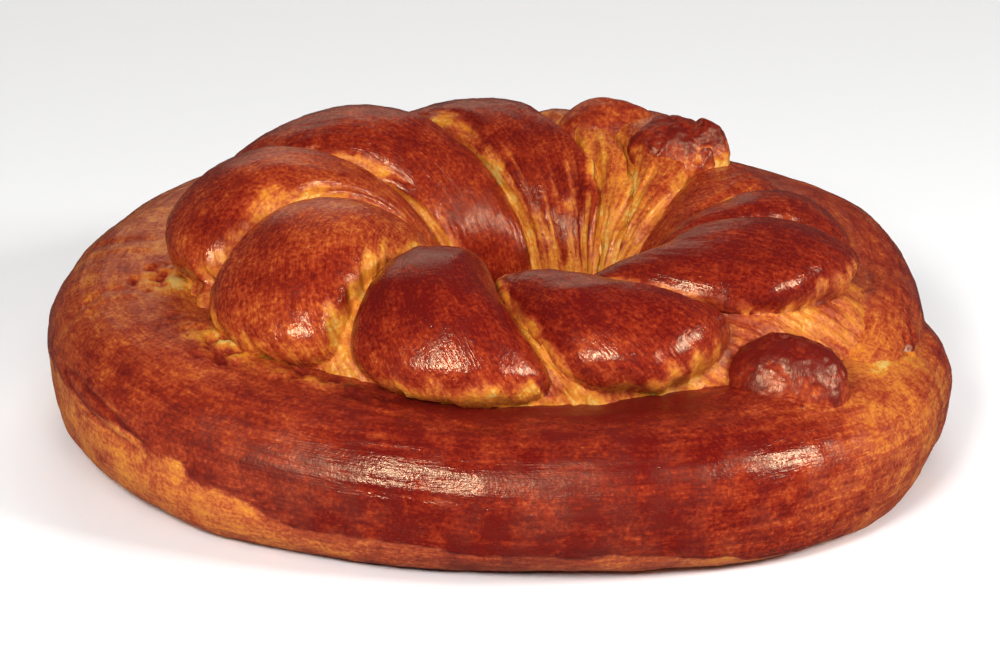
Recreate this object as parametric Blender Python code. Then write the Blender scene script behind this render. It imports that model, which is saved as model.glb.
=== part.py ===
"""A festive braided loaf, baked in one piece.

A thick rope of dough runs all round the outside, its two ends crossing at the
right.  A twisted wreath of rolled lobes lies on it round a small hollow, with a
lumpy knot where the wreath was closed and a small ball of dough at the front.
Metres, +Z up, the loaf standing on z = 0 with the middle of its box at x = y = 0.
"""
import bmesh
import bpy
import numpy as np

MM = 0.001
TURN = 2.0 * np.pi

# ---- outer rope -----------------------------------------------------------
ROPE_CENTRE = (1.7, 13.0)       # mm, middle of the rope ring in plan
ROPE_OUTER = 152.4              # mm, outer radius of the ring
ROPE_HALF_WIDTH = 35.0          # mm, half the rope across
ROPE_HALF_HEIGHT = 28.5         # mm, half the rope upright
TRAY_FLAT = 3.0                 # mm of the underside pressed flat on the tray
ROPE_FULLNESS = 2.45            # power of the rope's section, 2 is an ellipse
ROPE_START = 30.0               # degrees, the end tucked under
ROPE_FINISH = -396.0            # degrees, the end lying on top
START_TAPER = 36.0              # degrees over which the tucked end closes
FINISH_TAPER = 38.0             # degrees over which the top end closes
START_REACH = 84.0              # degrees over which the tucked end drops and thins
FINISH_REACH = 80.0             # degrees over which the top end rises and thins
START_OUTWARD = 3.5             # mm the tucked end stands out
START_DROP = 17.0               # mm the tucked end is pressed down
START_NARROW = 0.25             # share of its width that the tucked end loses
FINISH_INWARD = 10.5            # mm the top end turns in
FINISH_LIFT = 4.0               # mm the top end rides up
FINISH_NARROW = 0.45            # share of its width that the top end loses
# places where the rope's top is lower or higher: azimuth, reach (degrees), mm
ROPE_PRESSES = ((272.0, 40.0, -3.0), (30.0, 20.0, 5.5))
# fuller or flatter places: azimuth, section angle, reach (degrees), mm
ROPE_BULGES = (
    (226.0, -38.0, 26.0, 1.2),
    (334.0, -14.0, 24.0, -2.0),
    (312.0, -50.0, 22.0, 1.8),
    (162.0, 20.0, 24.0, 1.8),
)
# uneven plan of the ring: (times round, cosine mm, sine mm)
ROPE_WAVES = ((2, -0.7, 3.0), (3, -2.2, -2.5), (4, -2.6, 0.0))
# uneven height of the rope: (times round, cosine mm, sine mm)
ROPE_SWELLS = ((1, -0.6, 0.6), (2, 0.4, -0.5), (5, 0.4, 0.3))
# uneven thickness of the rope: (times round, cosine mm, sine mm)
ROPE_THICKNESS = ((1, -0.4, 2.6), (2, -0.5, 0.4))
ROPE_RINGS = 88
ROPE_ROWS = 20

# ---- twisted wreath -------------------------------------------------------
WREATH_CENTRE = (0.0, 3.0)      # mm, middle of the wreath in plan
WREATH_RADIUS = 68.0            # mm, radius of the line the strands turn round
WREATH_HEIGHT = 41.0            # mm, height of that line
CREASE_WIDTH = 0.05             # share of a lobe taken by the crease floor
LOBE_ROUND = 2.3                # power of the lobe's cross profile
NECK_AT = 180.0                 # degrees round the strand where lobes flatten
# lobes in order: crease azimuth, lean outward, lean inward (degrees), crest
# radius, relief (mm), tip angle, slant of the tip (degrees), web at the foot (share)
# and steepness: 0.5 is a round last side, more is a sloping one
LOBES = (
    (268.5, 17.0, 15.0, 49.5, 13.0, 22.0, 15.0, 0.04, 0.85),
    (301.0, 36.0, 30.0, 48.5, 11.0, 40.0, -12.0, 0.10, 0.85),
    (354.0, 24.0, 38.0, 48.5, 9.0, 15.0, 0.0, 0.08, 0.60),
    (376.0, 26.0, 38.0, 46.0, 9.0, 16.0, 0.0, 0.10, 0.60),
    (398.0, 26.0, 38.0, 54.0, 10.0, 8.0, 0.0, 0.10, 0.70),
    (425.0, 30.0, 58.0, 56.5, 9.0, 6.0, 0.0, 0.08, 0.60),
    (439.0, 25.0, 52.0, 51.0, 10.0, 6.0, 0.0, 0.10, 0.55),
    (473.0, 16.0, 28.0, 51.5, 12.0, 6.0, 0.0, 0.10, 0.55),
    (520.0, 5.0, 16.0, 52.5, 12.0, 24.0, 0.0, 0.16, 0.55),
    (557.0, 14.0, 15.0, 50.5, 12.0, 16.0, 0.0, 0.08, 0.55),
    (597.5, 5.0, 10.0, 48.5, 13.0, 13.0, 0.0, 0.05, 0.50),
)
SLANT_FROM = -0.4               # place across a lobe where its tip starts to slant
FULL_ARC = 42.0                 # mm of arc that gives a lobe its full relief
CORE_BLEND = 14.0               # degrees over which one core passes to the next
HOLLOW_DRIFT = 13.0             # mm the hollow's right side lies further right
DRIFT_TOWARD = 20.0             # azimuth where that is most, degrees
RIGHT_DRIFT = 10.0              # mm the wreath's right side stands out
# azimuths (degrees) and how much lower the crest is there (mm)
SAG_AZIMUTHS = (258.0, 272.0, 285.0, 302.0, 322.0, 340.0, 352.0)
SAGS = (0.0, 6.0, 7.5, 7.5, 6.5, 1.5, 0.0)
# web spread over the rope at the right: mm, azimuth, reach, strand angle, reach
SKIRT = (10.0, -10.0, 24.0, 8.0, 24.0)
TIP_ROUND = 18.0                # degrees over which a lobe's tip rounds off
LOBE_COLUMNS = 9                # points across one lobe
FOOT_ROWS = 11                  # rows up the outer foot of the strand
CREST_ROWS = 12                 # rows over its top and down into the hollow
UNDER_ROWS = 4                  # rows along its buried underside

# ---- base, ball and knot --------------------------------------------------
BASE_RADIUS = 108.0             # mm, dough joining rope and wreath underneath
BASE_TOP = 27.0                 # mm, floor of the hollow
BASE_RISE = 3.0                 # mm, the floor is this much higher in the middle
TRAY_BLOCK = 12.0               # mm, depth of the block that trims the underside
# lumps: centre xyz, half sizes xyz (mm), turn about Z (degrees), knobbliness
BALL = (
    ((90.0, -71.0, 49.0), (20.5, 16.5, 18.5), -12.0, 0.03),
    ((79.6, -80.3, 44.4), (24.0, 12.0, 9.5), -18.0, 0.05),
)
KNOT = (
    ((33.0, 72.0, 79.5), (20.5, 15.5, 18.0), 5.0, 0.02),
    ((55.5, 52.5, 84.0), (15.5, 15.0, 14.0), -20.0, 0.05),
    ((64.8, 50.4, 83.3), (9.6, 10.0, 14.5), 0.0, 0.08),
)
LUMP_COLUMNS = 18
LUMP_ROWS = 11
SHORTEST_EDGES = (0.05, 0.02, 0.01, 0.0)    # mm, edges closed up, first try first

CRUST = (0.36, 0.10, 0.035, 1.0)


def smooth(low, high, x):
    """Ease from 0 at low to 1 at high."""
    t = np.clip((x - low) / (high - low), 0.0, 1.0)
    return t * t * (3.0 - 2.0 * t)


def waves(terms, azimuth):
    """Sum of the cosine and sine terms at each azimuth (radians)."""
    total = np.zeros_like(azimuth)
    for times, cosine, sine in terms:
        total = total + cosine * np.cos(times * azimuth) + sine * np.sin(times * azimuth)
    return total


def apart(azimuth, place):
    """Signed difference from a place, wrapped to half a turn (degrees)."""
    return (azimuth - place + 180.0) % 360.0 - 180.0


def power_section(angle, power):
    """Unit superellipse: across and upright shares at each angle (radians)."""
    across = np.sign(np.cos(angle)) * np.abs(np.cos(angle)) ** (2.0 / power)
    upright = np.sign(np.sin(angle)) * np.abs(np.sin(angle)) ** (2.0 / power)
    return across, upright


def rope_points(rings, rows):
    """Outer rope: one section carried round a nearly closed ring, millimetres.

    The rings crowd together at the two ends, where the section closes to a point.
    """
    end_share = START_TAPER / (ROPE_START - ROPE_FINISH)
    along = np.linspace(0.0, 1.0, rings)
    along = along - end_share * np.sin(TURN * along) / TURN * 1.6
    azimuth_deg = ROPE_START + (ROPE_FINISH - ROPE_START) * along
    from_start = np.clip((ROPE_START - azimuth_deg) / START_TAPER, 0.0, 1.0)
    from_finish = np.clip((azimuth_deg - ROPE_FINISH) / FINISH_TAPER, 0.0, 1.0)
    size = np.sqrt(1.0 - (1.0 - from_start) ** 2.0) * np.sqrt(1.0 - (1.0 - from_finish) ** 2.4)
    near_start = 1.0 - smooth(0.0, START_REACH, ROPE_START - azimuth_deg)
    near_finish = 1.0 - smooth(0.0, FINISH_REACH, azimuth_deg - ROPE_FINISH)
    turned_in = FINISH_INWARD * near_finish - START_OUTWARD * near_start
    lifted = FINISH_LIFT * near_finish - START_DROP * near_start
    for place, reach, change in ROPE_PRESSES:
        lifted = lifted + change * np.exp(-(apart(azimuth_deg, place) / reach) ** 2)
    half_width = ROPE_HALF_WIDTH * (1.0 - FINISH_NARROW * near_finish - START_NARROW * near_start)
    azimuth = np.radians(azimuth_deg)
    round_section = np.linspace(0.0, TURN, rows, endpoint=False)
    across, upright = power_section(round_section, ROPE_FULLNESS)
    centre_line = ROPE_OUTER - half_width + waves(ROPE_WAVES, azimuth) - turned_in
    middle = ROPE_HALF_HEIGHT + 0.5 * lifted + waves(ROPE_SWELLS, azimuth)
    half_height = (ROPE_HALF_HEIGHT + 0.5 * lifted + waves(ROPE_THICKNESS, azimuth)) * size
    radius = centre_line[:, None] + (half_width * size)[:, None] * across[None, :]
    height = middle[:, None] + half_height[:, None] * upright[None, :]
    section_deg = np.degrees(round_section)
    for place, level, reach, change in ROPE_BULGES:
        far = np.hypot(apart(azimuth_deg, place)[:, None], apart(section_deg, level)[None, :]) / reach
        push = change * np.exp(-far ** 2)
        radius = radius + push * np.cos(round_section)
        height = height + push * np.sin(round_section)
    x = ROPE_CENTRE[0] + radius * np.cos(azimuth)[:, None]
    y = ROPE_CENTRE[1] + radius * np.sin(azimuth)[:, None]
    return np.stack([x, y, height], axis=-1)


def creases(round_strand):
    """Azimuth of every crease at each angle round the strand (degrees).

    round_strand is 0 outward, 90 up, 180 inward and 270 underneath.
    """
    lean = np.where(round_strand <= 180.0, (90.0 - round_strand) / 90.0, (round_strand - 270.0) / 90.0)
    lines = []
    for crease, lean_out, lean_in, *_ in LOBES:
        lines.append(crease + np.where(lean > 0.0, lean_out, lean_in) * lean)
    lines.append(lines[0] + 360.0)
    return np.array(lines)


def lobe_columns(half_width, columns):
    """Places across a lobe from -1 to 1, close together at the lobe's edges."""
    spread = np.linspace(-1.0, 1.0, columns)
    inner = half_width[:, None] * np.sin(0.5 * np.pi * spread)[None, :]
    return inner


def strand_rows(foot_rows, crest_rows, under_rows):
    """Angles round the strand, closest together at its outer foot (degrees)."""
    foot = np.linspace(0.0, 66.0, foot_rows, endpoint=False)
    crest = np.linspace(66.0, 210.0, crest_rows, endpoint=False)
    under = np.linspace(210.0, 360.0, under_rows, endpoint=False)
    return np.concatenate([foot, crest, under])


def skirt(azimuth, signed):
    """How far the web spreads over the rope at the right, millimetres."""
    spread, middle, azimuth_reach, level, strand_reach = SKIRT
    near = np.exp(-(apart(azimuth, middle) / azimuth_reach) ** 2)
    return spread * near * np.exp(-((signed - level) / strand_reach) ** 2)[:, None]


def drift(azimuth, strand):
    """How far the wreath lies to the right of a true ring, millimetres."""
    inner = (smooth(80.0, 165.0, strand) * (1.0 - smooth(270.0, 350.0, strand)))[:, None]
    right = 1.0 - smooth(32.0, 82.0, np.abs(apart(azimuth, 2.0)))
    toward = 0.5 + 0.5 * np.cos(np.radians(azimuth - DRIFT_TOWARD))
    return HOLLOW_DRIFT * toward * inner + RIGHT_DRIFT * right * (1.0 - inner)


def wreath_points(columns, strand):
    """Twisted wreath: lobes over a strand closed round a ring, millimetres.

    Distance from the strand's line is a core plus a rounded tongue for each
    lobe; tongues narrow toward their tips, leaving flat webs between them.
    """
    signed = np.where(strand > 270.0, strand - 360.0, strand)
    lines = creases(strand)
    core_all = np.array([lobe[3] - lobe[4] for lobe in LOBES])
    middles = np.array([0.5 * (lines[i] + lines[i + 1]) for i in range(len(LOBES))])
    on_top = smooth(30.0, 80.0, strand) * (1.0 - smooth(200.0, 260.0, strand))
    fade = (1.0 - smooth(NECK_AT - 40.0, NECK_AT + 30.0, strand))[:, None]
    sheets = []
    for i, lobe in enumerate(LOBES):
        relief, tip, slant, web, steepness = lobe[4:]
        foot = 1.0 - smooth(tip - 8.0, tip + 34.0, signed)
        half_width = 1.0 - CREASE_WIDTH - web * foot
        place = lobe_columns(half_width, columns)
        share = 0.5 * (place + 1.0)
        azimuth = lines[i][:, None] + share * (lines[i + 1] - lines[i])[:, None]
        pull = np.exp(-(apart(azimuth[:, :, None], middles.T[:, None, :]) / CORE_BLEND) ** 2) + 1e-9
        core = (pull * core_all).sum(axis=-1) / pull.sum(axis=-1)
        sag = np.interp(azimuth % 360.0, SAG_AZIMUTHS, SAGS)
        core = core - sag * on_top[:, None]
        across = np.clip(np.abs(place) / half_width[:, None], 0.0, 1.0)
        slanted_tip = tip + slant * np.maximum(place - SLANT_FROM, 0.0)
        past_tip = np.clip((slanted_tip + TIP_ROUND - signed[:, None]) / TIP_ROUND, 0.0, 1.0)
        power = 0.5 + (steepness - 0.5) * smooth(-0.5, 0.5, place)
        dome = np.clip(1.0 - across ** LOBE_ROUND - past_tip ** 2.5, 0.0, 1.0) ** power
        arc = np.radians(lines[i + 1] - lines[i]) * (WREATH_RADIUS + core_all[i] * np.cos(np.radians(strand)))
        fullness = np.clip(arc / FULL_ARC, 0.25, 1.25)[:, None]
        distance = core + skirt(azimuth, signed) + relief * dome * fullness * fade
        radius = WREATH_RADIUS + distance * np.cos(np.radians(strand))[:, None]
        height = WREATH_HEIGHT + distance * np.sin(np.radians(strand))[:, None]
        x = WREATH_CENTRE[0] + radius * np.cos(np.radians(azimuth)) + drift(azimuth, strand)
        y = WREATH_CENTRE[1] + radius * np.sin(np.radians(azimuth))
        sheets.append(np.stack([x, y, height], axis=-1))
    return np.concatenate(sheets, axis=1)


def lump_points(lump, columns, rows):
    """A ball of dough: an ellipsoid with a few broad bumps, millimetres."""
    (cx, cy, cz), (sx, sy, sz), turn, knobbly = lump
    around = np.linspace(0.0, TURN, columns, endpoint=False)[:, None]
    rise = np.linspace(-0.5 * np.pi, 0.5 * np.pi, rows)[None, 1:-1]
    bumps = 1.0 + knobbly * (np.cos(3.0 * around + 0.7) * np.cos(rise) ** 2 + np.sin(2.0 * around) * np.sin(3.0 * rise))
    x = sx * np.cos(around) * np.cos(rise) * bumps
    y = sy * np.sin(around) * np.cos(rise) * bumps
    z = sz * np.sin(rise) * bumps
    angle = np.radians(turn)
    turned_x = x * np.cos(angle) - y * np.sin(angle)
    turned_y = x * np.sin(angle) + y * np.cos(angle)
    return np.stack([cx + turned_x, cy + turned_y, cz + z], axis=-1)


def link(mesh_name, bm):
    """Turn a bmesh into an object in the scene."""
    bmesh.ops.recalc_face_normals(bm, faces=bm.faces)
    mesh = bpy.data.meshes.new(mesh_name)
    bm.to_mesh(mesh)
    bm.free()
    piece = bpy.data.objects.new(mesh_name, mesh)
    bpy.context.scene.collection.objects.link(piece)
    return piece


def sheet_to_piece(name, points, close_first, close_second):
    """Make a solid from a grid of points; open ends are closed by a pole."""
    rows, columns = points.shape[:2]
    bm = bmesh.new()
    verts = [[bm.verts.new(points[i, j] * MM) for j in range(columns)] for i in range(rows)]
    row_steps = rows if close_first else rows - 1
    for i in range(row_steps):
        after = (i + 1) % rows
        for j in range(columns):
            beside = (j + 1) % columns
            bm.faces.new((verts[i][j], verts[after][j], verts[after][beside], verts[i][beside]))
    if close_second:
        for i in (0, rows - 1):
            pole = bm.verts.new(points[i].mean(axis=0) * MM)
            for j in range(columns):
                bm.faces.new((verts[i][j], verts[i][(j + 1) % columns], pole))
    return link(name, bm)


def disc_piece(name, radius, bottom, top, rise):
    """A round slab of dough, slightly higher in the middle."""
    bm = bmesh.new()
    sides = 48
    turns = [TURN * k / sides for k in range(sides)]
    cx, cy = ROPE_CENTRE
    outline = [(bottom, radius), (top, radius), (top + 0.4 * rise, 0.6 * radius), (top + 0.9 * rise, 0.22 * radius)]
    rings = []
    for height, reach in outline:
        rings.append([bm.verts.new(((cx + reach * np.cos(t)) * MM, (cy + reach * np.sin(t)) * MM, height * MM))
                      for t in turns])
    for lower, upper in zip(rings[:-1], rings[1:]):
        for k in range(sides):
            after = (k + 1) % sides
            bm.faces.new((lower[k], lower[after], upper[after], upper[k]))
    middle_top = bm.verts.new((cx * MM, cy * MM, (top + rise) * MM))
    middle_bottom = bm.verts.new((cx * MM, cy * MM, bottom * MM))
    for k in range(sides):
        after = (k + 1) % sides
        bm.faces.new((rings[-1][k], rings[-1][after], middle_top))
        bm.faces.new((rings[0][after], rings[0][k], middle_bottom))
    return link(name, bm)


def combine(body, other, operation, overlaps_itself=False):
    """Join or cut with an exact Boolean and drop the second piece."""
    step = body.modifiers.new(operation.lower(), "BOOLEAN")
    step.operation = operation
    step.solver = "EXACT"
    step.use_self = overlaps_itself
    step.object = other
    bpy.context.view_layer.objects.active = body
    bpy.ops.object.modifier_apply(modifier=step.name)
    bpy.data.objects.remove(other, do_unlink=True)


def crust_material():
    """Baked, glazed crust."""
    crust = bpy.data.materials.new("crust")
    crust.use_nodes = True
    shader = crust.node_tree.nodes["Principled BSDF"]
    shader.inputs["Base Color"].default_value = CRUST
    shader.inputs["Roughness"].default_value = 0.4
    return crust


def build():
    """Build the loaf as one solid named loaf."""
    for thing in list(bpy.data.objects):
        bpy.data.objects.remove(thing, do_unlink=True)
    loaf = disc_piece("loaf", BASE_RADIUS, 0.0, BASE_TOP, BASE_RISE)
    rope = sheet_to_piece("rope", rope_points(ROPE_RINGS, ROPE_ROWS)[1:-1], False, True)
    combine(loaf, rope, "UNION", overlaps_itself=True)
    wreath = wreath_points(LOBE_COLUMNS, strand_rows(FOOT_ROWS, CREST_ROWS, UNDER_ROWS))
    combine(loaf, sheet_to_piece("wreath", wreath, True, False), "UNION")
    for lump in BALL + KNOT:
        points = lump_points(lump, LUMP_COLUMNS, LUMP_ROWS).transpose(1, 0, 2)
        combine(loaf, sheet_to_piece("lump", points, False, True), "UNION")
    block = disc_piece("block", 200.0, -TRAY_BLOCK, TRAY_FLAT, 0.0)
    combine(loaf, block, "DIFFERENCE")
    tidy(loaf)
    return loaf


def triangles_of(mesh, shortest):
    """The mesh as triangles, with edges shorter than this closed up (mm)."""
    bm = bmesh.new()
    bm.from_mesh(mesh)
    bmesh.ops.triangulate(bm, faces=bm.faces, ngon_method="EAR_CLIP")
    if shortest > 0.0:
        bmesh.ops.dissolve_degenerate(bm, edges=bm.edges, dist=shortest * MM)
        bmesh.ops.triangulate(bm, faces=bm.faces, ngon_method="EAR_CLIP")
    return bm


def tidy(loaf):
    """Close up tiny edges, centre the loaf on its box and shade it smooth."""
    for shortest in SHORTEST_EDGES:
        bm = triangles_of(loaf.data, shortest)
        if all(edge.is_manifold for edge in bm.edges):
            break
        bm.free()
    spots = np.array([v.co[:] for v in bm.verts])
    low, high = spots.min(axis=0), spots.max(axis=0)
    shift = (-(low[0] + high[0]) / 2.0, -(low[1] + high[1]) / 2.0, -low[2])
    bmesh.ops.translate(bm, verts=bm.verts, vec=shift)
    bmesh.ops.recalc_face_normals(bm, faces=bm.faces)
    bm.to_mesh(loaf.data)
    bm.free()
    loaf.data.name = "loaf"
    loaf.data.materials.clear()
    loaf.data.materials.append(crust_material())
    loaf.data.shade_smooth()


build()
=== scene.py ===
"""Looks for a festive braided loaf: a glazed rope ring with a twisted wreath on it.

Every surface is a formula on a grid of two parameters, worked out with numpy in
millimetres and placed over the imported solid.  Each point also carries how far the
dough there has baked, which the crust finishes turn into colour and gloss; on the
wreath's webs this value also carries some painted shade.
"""

import logging
import math
from dataclasses import dataclass, field
from enum import Enum

import bpy
import numpy as np
from mathutils import Matrix, Vector


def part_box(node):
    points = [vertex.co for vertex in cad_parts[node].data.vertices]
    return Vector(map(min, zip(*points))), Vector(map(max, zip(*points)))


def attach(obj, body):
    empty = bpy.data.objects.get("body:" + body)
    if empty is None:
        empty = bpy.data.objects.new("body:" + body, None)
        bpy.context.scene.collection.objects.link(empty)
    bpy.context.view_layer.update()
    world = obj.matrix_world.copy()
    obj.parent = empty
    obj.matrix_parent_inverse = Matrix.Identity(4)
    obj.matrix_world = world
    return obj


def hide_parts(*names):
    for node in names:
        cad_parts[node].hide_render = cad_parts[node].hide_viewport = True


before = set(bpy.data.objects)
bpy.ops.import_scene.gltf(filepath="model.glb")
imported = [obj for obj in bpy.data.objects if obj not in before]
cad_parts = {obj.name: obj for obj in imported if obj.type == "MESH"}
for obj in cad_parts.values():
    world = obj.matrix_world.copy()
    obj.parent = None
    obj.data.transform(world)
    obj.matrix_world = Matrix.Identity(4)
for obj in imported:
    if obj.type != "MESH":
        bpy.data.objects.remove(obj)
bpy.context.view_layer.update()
MM = 0.001
TURN = 2.0 * math.pi
LOG = logging.getLogger("braided_loaf")

Array = np.ndarray


# ---- arithmetic shared by the pieces ---------------------------------------
def smooth(low: float, high: float, x: Array) -> Array:
    """Ease from 0 at low to 1 at high.

    Args:
        low: value where the easing starts.
        high: value where it ends.
        x: where it is read.

    Returns:
        3t^2 - 2t^3 of the share t of the way from low to high.
    """
    t = np.clip((x - low) / (high - low), 0.0, 1.0)
    return t * t * (3.0 - 2.0 * t)


def waves(terms: tuple, azimuth: Array) -> Array:
    """Sum of cosine and sine waves round the ring.

    Args:
        terms: (times round, cosine mm, sine mm) for each wave.
        azimuth: where it is read, in radians.

    Returns:
        The sum in millimetres, the shape of azimuth.
    """
    total = np.zeros_like(azimuth)
    for times, cosine, sine in terms:
        total = total + cosine * np.cos(times * azimuth) + sine * np.sin(times * azimuth)
    return total


def close_to(azimuth: Array, centre: float) -> Array:
    """Signed turn from centre to azimuth by the shorter way, in degrees."""
    return (azimuth - centre + 180.0) % 360.0 - 180.0


@dataclass(frozen=True)
class DoughNoise:
    """Soft random heights on a lattice, the same on every run."""

    seed: int
    entries: int = 8192

    def table(self) -> Array:
        """Random values from -1 to 1, one for each lattice key."""
        return np.random.default_rng(self.seed).uniform(-1.0, 1.0, self.entries)

    def at(self, points: Array, cell: tuple) -> Array:
        """Lattice values blended between the corners of each cell.

        Args:
            points: (..., 3) positions in millimetres.
            cell: size of a lattice cell along each axis, millimetres.

        Returns:
            Heights from -1 to 1, one for each position: the value at each of the
            eight corners times its eased closeness, added up.
        """
        table = self.table()
        scaled = points / np.array(cell)
        corner = np.floor(scaled).astype(np.int64)
        inside = scaled - corner
        inside = inside * inside * (3.0 - 2.0 * inside)
        total = np.zeros(points.shape[:-1])
        for bits in range(8):
            step = np.array([bits & 1, (bits >> 1) & 1, (bits >> 2) & 1])
            spot = corner + step
            key = (spot[..., 0] * 73856093) ^ (spot[..., 1] * 19349663) ^ (spot[..., 2] * 83492791)
            weight = np.prod(np.where(step == 1, inside, 1.0 - inside), axis=-1)
            total += weight * table[key % self.entries]
        return total

    def layered(self, points: Array, cell: tuple, layers: int = 3) -> Array:
        """Noise with finer, weaker layers added, each half the size of the last.

        Args:
            points: (..., 3) positions in millimetres.
            cell: size of a cell in the coarsest layer, millimetres.
            layers: how many layers are added.

        Returns:
            Heights of about -1 to 1.
        """
        total = np.zeros(points.shape[:-1])
        share = 0.0
        for k in range(layers):
            scale = 0.5 ** k
            shifted = points + 17.3 * k
            total += scale * self.at(shifted, tuple(scale * side for side in cell))
            share += scale
        return total * 1.5 / share


def flat_points(across: Array, along: Array) -> Array:
    """Surface coordinates as points on a plane, for noise that follows a surface."""
    across, along = np.broadcast_arrays(across, along)
    return np.stack([across, along, np.zeros_like(across)], axis=-1)


@dataclass
class Skin:
    """A grid of surface points with what the finishes need at each of them."""

    points: Array                       # (rows, columns, 3) millimetres
    across: Array                       # surface coordinate over the grain, mm
    along: Array                        # surface coordinate down the grain, mm
    rows_close: bool                    # the last row joins the first
    columns_close: bool                 # the last column joins the first
    values: dict = field(default_factory=dict)

    def normals(self) -> Array:
        """Unit normals: the cross product of the steps down rows and columns."""
        down = self._step(0, self.rows_close)
        over = self._step(1, self.columns_close)
        normal = np.cross(over, down)
        length = np.linalg.norm(normal, axis=-1, keepdims=True)
        return normal / np.maximum(length, 1e-9)

    def _step(self, axis: int, closes: bool) -> Array:
        """Half the step between the neighbours along one axis of the grid."""
        if closes:
            return 0.5 * (np.roll(self.points, -1, axis=axis) - np.roll(self.points, 1, axis=axis))
        return np.gradient(self.points, axis=axis)

    def raise_by(self, height: Array) -> None:
        """Move every point out along its normal by height, in millimetres."""
        self.points = self.points + self.normals() * height[..., None]


def corner_grid(rows: int, columns: int, rows_close: bool, columns_close: bool) -> tuple:
    """Row and column of the four corners of every quad of a grid.

    Args:
        rows: rows of points.
        columns: columns of points.
        rows_close: whether the last row joins the first.
        columns_close: whether the last column joins the first.

    Returns:
        Two (quads, 4) arrays, rows and columns, not yet wrapped round.
    """
    row = np.arange(rows if rows_close else rows - 1)[:, None, None]
    column = np.arange(columns if columns_close else columns - 1)[None, :, None]
    row_step = np.array([0, 0, 1, 1])[None, None, :]
    column_step = np.array([0, 1, 1, 0])[None, None, :]
    row_all, column_all = np.broadcast_arrays(row + row_step, column + column_step)
    return row_all.reshape(-1, 4), column_all.reshape(-1, 4)


def mesh_from_skin(name: str, skin: Skin, shift: Array) -> bpy.types.Object:
    """Make a closed mesh from a skin; open ends get a pole.

    Args:
        name: name of the piece.
        skin: the grid and its values.
        shift: millimetres added to every point, to place it over the solid.

    Returns:
        The linked object, at the origin, with its place in its mesh.
    """
    rows, columns = skin.points.shape[:2]
    row, column = corner_grid(rows, columns, skin.rows_close, skin.columns_close)
    corners = (row % rows) * columns + (column % columns)
    across = extended(skin.across, skin.rows_close, skin.columns_close)[row, column]
    along = extended(skin.along, skin.rows_close, skin.columns_close)[row, column]
    vertices = [skin.points.reshape(-1, 3)]
    loops = [corners.reshape(-1)]
    sizes = [np.full(len(corners), 4)]
    grain = [np.stack([across.reshape(-1), along.reshape(-1)], axis=-1)]
    values = {key: [np.asarray(value, float).reshape(-1)] for key, value in skin.values.items()}
    if not skin.rows_close:
        for end, order in ((0, 1), (rows - 1, -1)):
            pole = rows * columns + len(vertices) - 1
            ring = end * columns + np.arange(columns)
            beside = end * columns + (np.arange(columns) + 1) % columns
            fan = np.stack([beside, ring, np.full(columns, pole)], axis=-1)[:, ::order]
            vertices.append(skin.points[end].mean(axis=0)[None, :])
            loops.append(fan.reshape(-1))
            sizes.append(np.full(columns, 3))
            flat = np.stack([skin.across[end], skin.along[end]], axis=-1)
            grain.append(np.repeat(flat, 3, axis=0))
            for key, value in skin.values.items():
                values[key].append(np.asarray(value, float)[end].mean(keepdims=True))
    return write_mesh(name, np.concatenate(vertices) + shift, np.concatenate(loops), np.concatenate(sizes),
                      np.concatenate(grain), {key: np.concatenate(parts) for key, parts in values.items()})


def extended(value: Array, rows_close: bool, columns_close: bool) -> Array:
    """A surface coordinate carried one step past each closing edge of its grid."""
    if columns_close:
        ahead = 2.0 * value[:, -1:] - value[:, -2:-1]
        value = np.concatenate([value, ahead], axis=1)
    if rows_close:
        ahead = 2.0 * value[-1:] - value[-2:-1]
        value = np.concatenate([value, ahead], axis=0)
    return value


def write_mesh(name: str, vertices: Array, loops: Array, sizes: Array, grain: Array, values: dict) -> bpy.types.Object:
    """Put arrays into a new mesh object.

    Args:
        name: name of the piece.
        vertices: (points, 3) in millimetres.
        loops: vertex of every face corner.
        sizes: corners of every face.
        grain: (corners, 2) surface coordinates in millimetres, kept as the UV map.
        values: name and value per point of every attribute.

    Returns:
        The linked object, shaded smooth.
    """
    mesh = bpy.data.meshes.new(name)
    mesh.vertices.add(len(vertices))
    mesh.loops.add(len(loops))
    mesh.polygons.add(len(sizes))
    mesh.vertices.foreach_set("co", (vertices * MM).astype(np.float32).reshape(-1))
    mesh.loops.foreach_set("vertex_index", loops.astype(np.int32))
    starts = np.concatenate([[0], np.cumsum(sizes)[:-1]])
    mesh.polygons.foreach_set("loop_start", starts.astype(np.int32))
    mesh.update(calc_edges=True)
    uv_map = mesh.uv_layers.new(name="grain")
    uv_map.data.foreach_set("uv", (grain * 0.1).astype(np.float32).reshape(-1))
    for key, value in values.items():
        attribute = mesh.attributes.new(key, "FLOAT", "POINT")
        attribute.data.foreach_set("value", value.astype(np.float32))
    mesh.polygons.foreach_set("use_smooth", np.ones(len(sizes), bool))
    mesh.validate()
    mesh.update()
    piece = bpy.data.objects.new(name, mesh)
    bpy.context.scene.collection.objects.link(piece)
    return piece


# ---- finishes ---------------------------------------------------------------
class Bake(Enum):
    """How far the dough has baked, with its colour (linear red, green, blue)."""

    RAW = (0.0, (0.66, 0.40, 0.10))
    GOLDEN = (0.16, (0.64, 0.228, 0.016))
    AMBER = (0.34, (0.56, 0.155, 0.024))
    RUSSET = (0.55, (0.38, 0.055, 0.013))
    CHESTNUT = (0.76, (0.235, 0.018, 0.006))
    MAHOGANY = (1.0, (0.125, 0.0045, 0.0035))

    @property
    def level(self) -> float:
        """Place on the ramp from 0 to 1."""
        return self.value[0]

    @property
    def colour(self) -> tuple:
        """Colour with full opacity."""
        return self.value[1] + (1.0,)


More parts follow.
